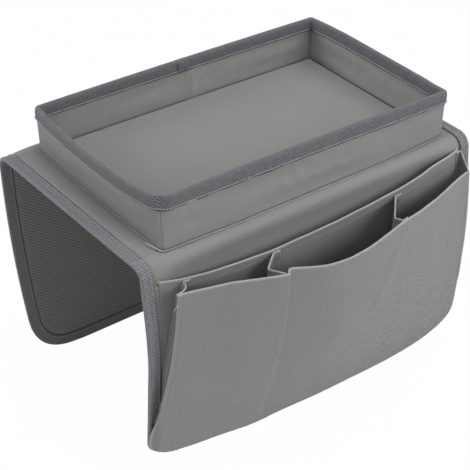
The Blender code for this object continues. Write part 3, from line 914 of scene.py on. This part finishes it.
def panel_wrinkle(across, share):
    """Unevenness of the front panel: slack, soft ridges and the edge's seam groove."""
    x = across * half_width
    down = share * pocket_end
    calm = unit((1 - np.abs(across)) / 0.08) * unit(share / 0.05) * unit((1 - share) / 0.08)
    uneven = ripples(x, down, panel_slack, 41) + ripples(x, down, panel_fine_slack, 42)
    for place, lean, width, height, start, reach in panel_ridges:
        uneven = uneven + bell(x - lean * share, height, place, width) * bell(share, 1, start, reach)
    groove = bell(from_side(across, share), panel_groove, panel_edge, 0.0007) * unit((1 - share) / 0.2)
    return calm * uneven - groove


def make_front_panel():
    even = np.linspace(-1, 1, 171)
    half = pocket_half(0.0)
    crease = pocket_across(pleat_place, 0.0)
    close = crease + pleat_edge / half * np.linspace(-3, 3, 13)
    edge = 1 - np.array([0.0, 0.0012, 0.0024, 0.0031, 0.0037, 0.0042, 0.0048, 0.0056, 0.0068]) / half
    inner = even[(np.abs(even - crease) > 3.3 * pleat_edge / half) & (np.abs(even) < edge[-1] - 0.004)]
    across = np.sort(np.concatenate([inner, close, edge, -edge]))
    foot_start = 1 - foot_run / (pocket_end - pocket_top)
    upper = foot_start * np.concatenate([[0, 0.004, 0.008, 0.014, 0.021],
                                         0.025 + 0.975 * np.linspace(0, 1, 56)[1:]])
    lower = foot_start + (1 - foot_start) * np.sin(pi / 2 * np.linspace(0, 1, 9))[1:]
    a, s = np.meshgrid(across, np.concatenate([upper, lower]))
    x, down, offset = pocket_place(a, s)
    # Painted highlight along the panel's side edges
    lit = 0.7 * unit(1 - from_side(a, s) / 0.0014)
    field, weave = with_hem(drape(FRONT, x, down, offset + panel_wrinkle(a, s)), vectors(x, -down, lit),
                            hem_depth, hem_hang, (0, 1, 0))
    x, down, _ = pocket_place(across, 1.0)
    folded = np.array([[0.0015], [0.0035], [foot_allowance]])
    field = np.concatenate([field, drape(FRONT, x, down - folded, foot_offset)])
    weave = np.concatenate([weave, vectors(x, -down - folded)])
    settle(cloth_piece("front_panel_cloth", field, weave, OXFORD), ["pocket_front_panel"], "oxford",
           "front_flap", flat=(0.370, 0.206), held="gathered", rests_on=["magazine_panel_cloth"])


def panel_line(across, share):
    """A seam on the front panel's face: its points and the directions out of it."""
    x, down, offset = pocket_place(across, share)
    offset = offset + panel_wrinkle(across, share)
    middle = drape(FRONT, x, down, offset)
    aside = drape(FRONT, *pocket_place(across + 0.002, share)) - middle
    below = drape(FRONT, *pocket_place(across, share + 0.004)) - middle
    normal = unit_rows(np.cross(below, aside))
    return drape(FRONT, x, down, offset + cloth / 2), normal * np.where(normal[:, 1:2] > 0, -1.0, 1.0)


def make_panel_stitches():
    crease = pocket_across(pleat_place, 0.0)
    depth = pocket_end - pocket_top
    clear = 3.2 * pleat_edge / pocket_half(0.0)
    lines = [panel_line(np.linspace(-0.965, crease - clear, 200), hem_stitch / depth),
             panel_line(np.linspace(crease + clear, 0.965, 200), edge_stitch / depth)]
    share = np.linspace(0.01, 0.95, 160)
    lines += [panel_line(end * (1 - panel_edge / pocket_half(share)), share) for end in (-1, 1)]
    share = np.linspace(0.012, 0.060, 30)
    lines.append(panel_line(pocket_across(divider_tack, 0.0) + 0 * share, share))
    start = panel_line(np.array([-1.0, -0.996]), 0.042)[0][0]
    t = np.linspace(0, 1, 14)[:, None]
    tails = [start + t * [reach, -0.003, drop] + np.sin(pi * t) * [0.0, -0.001, curl]
             for reach, drop, curl in thread_tails]
    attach(stitches("front_panel_stitches", lines, FINE_THREAD, tails=tails), "front_flap")


def strip_place(rear_x, front_x, fold, share, front_flange, part):
    """A point of a folded divider; part runs over its rear flange, its folded width and its front flange."""
    fold_depth, fold_place, fold_soft = fold
    _, front_down, front_offset = pocket_place(pocket_across(front_x, share), share)
    rear_down = front_down + divider_rear_drop * (1 - share)
    start = magazine_offset(rear_x, rear_down) + seat
    finish = front_offset - 2 * seat
    inner, back, ahead = unit(part), unit(-part), unit(part - 1)
    peak = np.minimum(inner / fold_place, (1 - inner) / (1 - fold_place))
    peak = peak - bell(inner, fold_soft, fold_place, 2 * fold_soft)
    reach = fold_depth * (1 - share) ** 0.5 + fold_slant * smooth(share / 0.22) * (1 - share)
    x = rear_x + (front_x - rear_x) * inner - reach * peak + divider_rear_flange * back + front_flange * ahead
    down = rear_down + (front_down - rear_down) * inner
    edge = pocket_place(pocket_across(front_x + front_flange, share), share)[2] - 2 * seat
    rear = magazine_offset(rear_x + divider_rear_flange, rear_down) + seat
    return x, down, start + (finish - start) * inner + back * (rear - start) + ahead * (edge - finish)


def strip_shares(end):
    return np.concatenate([[0, 0.004, 0.008, 0.014], np.linspace(0.02, end, round(end / 0.018))])


def make_strip(kind, word, x, down, offset, along, behind, away, **sheet):
    """A hemmed strip between the magazine panel and the front panel."""
    field, weave = with_hem(drape(FRONT, x, down, offset), vectors(along, -down), 0.006, behind, (away, 0, 0))
    settle(cloth_piece(f"{kind}_{word}_cloth", field, weave, OXFORD), [f"pocket_{kind}_{word}"], "oxford",
           "front_flap", held="folded", rests_on=["magazine_panel_cloth"], **sheet)


def make_divider(word, rear_x, front_x, fold):
    turn = -1 if word == "left" else 1
    part = np.concatenate([np.linspace(-1, 0, 7)[:-1], np.linspace(0, 1, 44), np.linspace(1, 2, 7)[1:]])
    p, s = np.meshgrid(part, strip_shares(divider_end_share))
    x, down, offset = strip_place(rear_x, front_x, fold, s, turn * divider_front_flange, p)
    calm = unit(s / 0.1) * unit(2 - 2 * np.abs(p - 0.5))
    x = x + ripples(p * 0.03, s * 0.17, divider_slack, 51 + turn) * calm
    make_strip("divider", word, x, down, offset, np.linspace(0, 0.055, len(part)), 0.0009, 1,
               flat=(0.058, 0.170), area=0.0090)


def make_gusset(word, side, width, raised, curve):
    share = strip_shares(gusset_end_share)[:, None]
    front_x, down, front_offset = pocket_place(side, share)
    narrow = width * (1 - share) ** gusset_narrowing + gusset_flange / 2 * share
    rear_x = side * np.minimum(side * front_x - narrow, tongue_half(FRONT, down, tape_reach + seat))
    start = magazine_offset(rear_x, down) + seat
    part = np.linspace(0, 1, 24)
    x = rear_x + (front_x - rear_x) * part ** curve
    offset = start + (front_offset - 2 * seat - start) * (1 - (1 - part) ** curve)
    flange = np.linspace(1, 0, 5)[:-1]
    flange_x = rear_x - side * gusset_flange * flange
    x = np.concatenate([flange_x, x], 1)
    offset = np.concatenate([magazine_offset(flange_x, down) + seat, offset], 1)
    low = down - raised * (1 - share) ** 6 * np.concatenate([np.ones(len(flange)), 1 - part])
    make_strip("gusset", word, x, low, offset, offset, 0.0008, side, flat=(0.030, 0.140), area=0.0029)


# Tray


def on_deck(x, y, z):
    """A point of the tray, its walls bowed and leaning as in the photograph, turned on the deck."""
    height = unit((z - deck_top) / tray_height)
    arch_x, arch_y = 1 - (2 * x / tray_length) ** 2, 1 - (2 * y / tray_depth) ** 2
    bx = x - np.where(x < bow_zone - tray_length / 2, left_wall_bow * height * arch_y, 0)
    by = y - np.where(y < bow_zone - tray_depth / 2, front_wall_bow * height * arch_x, 0)
    bx = bx + table(y, right_lean) * height * smooth((x - tray_length / 2 + lean_zone) / lean_zone)
    bowed = back_lean * (back_end_share + (1 - back_end_share) * arch_x)
    by = by + bowed * height * smooth((y - tray_depth / 2 + lean_zone) / lean_zone)
    u, v = x + tray_length / 2, y + tray_depth / 2
    bx = bx + bell(v, corner_shift, 0, corner_shift_run) * height * (1 - smooth(u / lean_zone))
    cut = 0.29 * corner_round * height * unit(1 - np.maximum(u, v) / corner_round) ** 2
    return swung(bx + cut, by + cut, z) + [tray_shift, 0, 0]


def swung(x, y, z=0.0):
    c, s = cos(tray_turn), sin(tray_turn)
    return vectors(c * x - s * y, s * x + c * y, z)


def on_foot(x, y, z):
    """A point of the walls' outer cloth, whose front foot is sewn further forward, over the fold's start."""
    height = unit((z - deck_top) / tray_height)
    near = 1 - smooth((y + tray_depth / 2) / foot_zone)
    point = on_deck(x, y, z)
    point[..., 1] -= table(x, wall_foot) * near * (1 - height) ** 1.3
    beyond = np.clip(-point[..., 1] - half_deck, 0, None)
    radius = fold_radius + stack
    fall = radius - np.sqrt(np.clip(radius ** 2 - beyond ** 2, 0, None))
    point[..., 2] -= fall * (1 - height)
    return point


def ring_plan(inset):
    """The tray's rounded plan, drawn in by inset, with the outward normals."""
    radius = max(tray_inner_corner, tray_corner - inset)
    half_x, half_y = tray_length / 2 - inset - radius, tray_depth / 2 - inset - radius
    plan, out = [], []
    for index, (sx, sy) in enumerate(((1, 1), (-1, 1), (-1, -1), (1, -1))):
        for turn in np.linspace(index * pi / 2, (index + 1) * pi / 2, 13):
            plan.append((sx * half_x + radius * cos(turn), sy * half_y + radius * sin(turn)))
            out.append((cos(turn), sin(turn)))
        x, y = plan[-1]
        if index % 2 == 0:
            side = [(k, y) for k in np.linspace(sx * half_x, -sx * half_x, 132)[1:-1]]
        else:
            side = [(x, k) for k in np.linspace(sy * half_y, -sy * half_y, 84)[1:-1]]
        plan += side
        out += [out[-1]] * len(side)
    return np.array(plan), np.array(out)


def closed(rows):
    return np.concatenate([rows, rows[:1]])


def plan_lengths(plan):
    return lengths_along(closed(plan))[:-1]


def below_tape(height):
    return unit((rim_top - tape_reach - height) / mark_fade)


def wall_cloth(name, node, inset, seed, face, place, mark):
    """One of the walls' two cloths as a band round the tray, slack between its seams; face is 1 outside."""
    plan, out = ring_plan(inset)
    along = plan_lengths(plan)
    low, high = deck_top + 0.0004, rim_top - 0.0022
    on_side = np.abs(out[:, 0]) > 0.5
    away = np.where(on_side, tray_depth / 2 - np.abs(plan[:, 1]), tray_length / 2 - np.abs(plan[:, 0]))
    calm = unit((away - tray_corner) / 0.02) * (np.abs(out).max(axis=1) > 0.9999)
    loose, rough = wall_slack[face]
    if face < 0:
        calm = calm * (1 - bell(plan[:, 0], *seam_calm) * (out[:, 1] > 0.5))
    rows, weave = [], []
    for height in np.linspace(low, high, 26):
        slack = loose * face + ripples(along * 0.22, height, (rough, 0.020), seed)
        slack = slack + ripples(along, height, wall_ripple, seed + 1)
        push = calm * sin(pi * (height - low) / (high - low)) * slack
        push = push + bell(plan[:, 0], *mark) * (out[:, 1] * face < -0.6) * below_tape(height)
        rows.append(place(*(plan + out * push[:, None]).T, height))
        # Painted light and shade on the inner cloth: lighter all over, with painted shade at its foot and along
        # its corners
        shade = 0.0
        if face < 0:
            # Painted shade in a band along the foot of the inner cloth
            foot = inner_foot_painted_shade * unit(1 - (height - low) / inner_foot_shade_height)
            # Painted shade along the inner corners, under the painted light
            shade = inner_wall_painted_light - np.maximum(foot, bell(away, inner_corner_painted_shade[0], inset, inner_corner_painted_shade[1]))
        weave.append(vectors(along, height, shade))
    settle(cloth_piece(name, rows, weave, OXFORD, ring=True), [node], "oxford", "deck",
           flat=(0.965, 0.044), held="stretched", rests_on=["tray_front_board", "tray_back_board"])


def make_wall_seam():
    """Two rows of stitches and the cloth's folded end where the inner cloth is joined at the back."""
    z = np.linspace(deck_top + 0.004, rim_top - tape_reach - 0.0005, 40)

    def on_face(x):
        raised = bell(x, *seam_bulge) * below_tape(z)
        return on_deck(x, tray_depth / 2 - wall_stack - under_lift - raised, z)

    lines = [(on_face(0 * z + x), swung(0 * z, -1.0)) for x in wall_seam]
    start, run = wall_fold
    fold = on_face(start + run * np.linspace(0, 1, 40) ** 2)
    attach(stitches("wall_seam_stitches", lines, THREAD, pitch=0.0026, length=0.0021, radius=fold_thread,
                     tails=[fold]), "deck")


def rim_profile(radius):
    """Middle line of the rim's tape as (inset from the top, distance out from the wall's middle)."""
    leg = np.linspace(tape_reach, cloth / 2 + radius, 9)[:-1]
    crown = rim_crown * np.sin(pi * unit((tape_reach - leg) / (tape_reach - radius)))
    side = [(a, radius + c) for a, c in zip(leg, crown)]
    over = [(cloth / 2 + radius - (radius + rim_rise) * sin(t), radius * cos(t))
            for t in np.linspace(0, pi, 13)]
    return side + over + [(a, -b) for a, b in side[::-1]]


def rim_rings(radius):
    base = wall_stack / 2
    along = plan_lengths(ring_plan(base)[0])
    rows = []
    for k, (inset, side) in enumerate(rim_profile(radius)):
        plan, out = ring_plan(base - side)
        sag = ripples(along, 0, rim_wander, 61) * freedom(inset)
        at = plan + out * ripples(along, k, rim_puff, 62)[:, None]
        place = on_foot if side > 0 else on_deck
        rows.append(place(*at.T, rim_top - inset - sag))
    return along, rows


def make_rim():
    """The rim's tape right round, its lapped end on the back wall, and its stitches."""
    tape = tape_piece("rim_tape", *rim_rings(rim_radius), SHADED_RIM_BINDING, ring=True)
    settle(tape, ["tray_rim_binding"], "tape", "deck",
           flat=(0.960, 0.026), held="folded", rests_on=["outer_wall_cloth", "inner_wall_cloth"])
    plan, out = ring_plan(wall_stack / 2)
    kept = (out[:, 1] > 0.5) & (plan[:, 0] > lap_span[0]) & (plan[:, 0] < lap_span[1])
    lap = tape_piece("rim_tape_lap", *rim_rings(rim_radius + lap_proud), SHADED_RIM_BINDING, kept=kept)
    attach(lap, "deck")
    lines = []
    for side, place in ((-1, on_foot), (1, on_deck)):
        plan, out = ring_plan(wall_stack / 2 + side * (rim_radius + cloth / 2 + 0.00030))
        lines.append((place(*closed(plan).T, rim_top - rim_stitch), swung(*(-side * closed(out)).T)))
    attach(stitches("rim_stitches", lines, THREAD, pitch=0.0026, length=0.0024, radius=rim_thread), "deck")


def make_base_seam():
    """The folded lip that shows where the walls are sewn to the deck, and a loose thread at its corner."""
    rows, weave = [], []
    for out_by, height in lip_profile:
        plan, _ = ring_plan(-out_by)
        along = plan_lengths(plan)
        row = on_foot(*plan.T, deck_top)
        row[:, 2] += gap + height + ripples(along, 0, lip_slack, 71) * (out_by / lip_profile[-1][0])
        rows.append(row)
        # Painted highlight on the lip
        weave.append(vectors(along, out_by, lip_painted_highlight))
    settle(cloth_piece("base_seam_lip", rows, weave, OXFORD, lip_thickness, ring=True), ["tray_base_seam"],
           "oxford", "deck", flat=(0.965, 0.010), area=0.0029, held="folded", rests_on=["deck_top_cloth"])
    corner = on_foot(np.array([-tray_length / 2]), np.array([-tray_depth / 2 - 0.001]), deck_top)
    t = np.linspace(0, 1, 12)[:, None]
    path = corner + [0, 0, 0.0013] + t * [-0.0045, 0.0170, 0.0006] + np.sin(pi * t) * [-0.0008, 0.0, 0.0004]
    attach(stitches("base_seam_thread", [], THREAD, radius=lip_thread, tails=[path]), "deck")


def make_floor():
    """The floor's cloth, pulled down round its board's edges."""
    side = wall_stack + floor_clearance + cloth / 2
    top = deck_top + gap + floor_board + gap + cloth / 2
    half_x, half_y = tray_length / 2 - side, tray_depth / 2 - side
    u, v = np.meshgrid(np.linspace(-1, 1, 120), np.linspace(-1, 1, 80))
    x = (np.sin(u * pi / 2) * 0.3 + u * 0.7) * half_x
    y = (np.sin(v * pi / 2) * 0.3 + v * 0.7) * half_y
    inward = np.minimum(half_x - np.abs(x), half_y - np.abs(y))
    edge = np.sqrt(unit(1 - (1 - unit(inward / 0.0018)) ** 2))
    z = top - 0.0014 * (1 - edge) + 0.0004 * unit(inward / 0.03)
    z = z + ripples(x, y, floor_slack, 81) * unit(inward / 0.02)
    # Painted shade round the floor's edge
    shade = -floor_edge_painted_shade[0] * unit(1 - inward / floor_edge_painted_shade[1])
    settle(cloth_piece("floor_cloth", on_deck(x, y, z), vectors(x, y, shade), OXFORD), ["tray_floor_cover"],
           "oxford", "deck", flat=(0.300, 0.188), held="laid", rests_on=["tray_floor_board"])


def make_tray():
    corner = -tray_length / 2 + tray_corner * (1 - cos(pi / 4))
    depth, width = wall_crease
    height, *where = seam_bulge
    wall_cloth("outer_wall_cloth", "tray_outer_cover", cloth / 2, 91, 1, on_foot, (depth, corner, width))
    wall_cloth("inner_wall_cloth", "tray_inner_cover", wall_stack - cloth / 2, 95, -1, on_deck,
               (-height, *where))
    make_wall_seam()
    make_rim()
    make_base_seam()
    make_floor()


def make_boards():
    """The walls' boards, which follow the lean of their cloths, and card on the boards that are flat."""
    middle = cloth + gap + wall_board / 2
    end_x, end_y = tray_length / 2 - board_end, tray_depth / 2 - wall_stack - gap
    for word, side, end in (("front", -1, end_x), ("back", 1, end_x),
                            ("left", -1, end_y), ("right", 1, end_y)):
        along, z = np.meshgrid(np.linspace(-end, end, 60),
                               np.linspace(deck_top + gap, rim_top - wall_board_drop, 12))
        if word in ("front", "back"):
            point = on_deck(along, side * (tray_depth / 2 - middle) + 0 * z, z)
        else:
            point = on_deck(side * (tray_length / 2 - middle) + 0 * z, along, z)
        settle(cloth_piece(f"tray_{word}_board", point, vectors(along, z), CARD, wall_board),
               [f"tray_{word}_wall_board"], "board", "deck")
    for name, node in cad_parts.items():
        if name.endswith("_board") and not name.endswith("_wall_board"):
            node.data.materials.clear()
            node.data.materials.append(CARD)


# Stage, light and camera


def make_stage():
    mesh = bpy.data.meshes.new("studio_floor")
    corners = [(x * floor_reach, y * floor_reach, floor_height)
               for x, y in ((-1, -1), (1, -1), (1, 1), (-1, 1))]
    mesh.from_pydata(corners, [], [(0, 1, 2, 3)])
    material, n, shader = new_material("studio_floor")
    n.feed(shader, {"Base Color": (0.86, 0.86, 0.86, 1), "Roughness": 0.9, "Specular IOR Level": 0.0})
    glow = n.add("ShaderNodeEmission", {"Color": (1, 1, 1, 1), "Strength": 1.0}).outputs[0]
    mixed = n.add("ShaderNodeMixShader", {0: n.times(n.seen(), floor_white), 1: shader.outputs[0], 2: glow})
    n.feed(n.tree.nodes["Material Output"], {"Surface": mixed.outputs[0]})
    mesh.materials.append(material)
    new_object("studio_floor", mesh)


def make_light(name, azimuth, elevation, power):
    """A soft round lamp."""
    turn, rise = radians(azimuth), radians(elevation)
    away = Vector((cos(rise) * sin(turn), -cos(rise) * cos(turn), sin(rise)))
    data = bpy.data.lights.new(name, "AREA")
    data.shape = "DISK"
    data.size = lamp_size
    data.energy = power
    lamp = new_object(name, data)
    lamp.location = Vector((0, 0, -0.05)) + away * lamp_distance
    lamp.rotation_mode = "QUATERNION"
    lamp.rotation_quaternion = (-away).to_track_quat("-Z", "Y")


def make_world():
    world = bpy.data.worlds.new("studio")
    bpy.context.scene.world = world
    world.use_nodes = True
    n = Nodes(world.node_tree)
    strength = n.plus(n.times(n.seen(), 1.0 - ambient), ambient)
    n.feed(world.node_tree.nodes["Background"], {"Color": (1, 1, 1, 1), "Strength": strength})


def make_camera():
    """The photograph's camera, as it was solved from the tray and the deck."""
    az, el, roll = radians(-36.59), radians(33.89), radians(-0.34)
    distance = 1.20865
    target = Vector((-0.04798, -0.06225, -0.04021))
    pixels, focal = 470, 1423.82
    back = Vector((sin(az) * cos(el), -cos(az) * cos(el), sin(el)))
    right = (-back).cross(Vector((0, 0, 1))).normalized()
    up = right.cross(-back)
    across = right * cos(roll) + up * sin(roll)
    upward = -right * sin(roll) + up * cos(roll)
    place = target + back * distance
    data = bpy.data.cameras.new("camera")
    data.sensor_width = 36.0
    data.lens = focal / pixels * data.sensor_width
    data.clip_start, data.clip_end = 0.05, 50.0
    camera = new_object("camera", data)
    camera.matrix_world = Matrix((*zip(across, upward, back, place), (0, 0, 0, 1)))
    bpy.context.scene.camera = camera


make_deck()
make_flap(FRONT)
make_flap(BACK)
make_magazine()
make_front_panel()
make_panel_stitches()
for word, divider in dividers.items():
    make_divider(word, *divider)
for word, gusset in gussets.items():
    make_gusset(word, *gusset)
make_tray()
make_boards()
make_stage()
for lamp in lamps:
    make_light(*lamp)
make_world()
make_camera()
bpy.context.scene.view_settings.view_transform = "Standard"
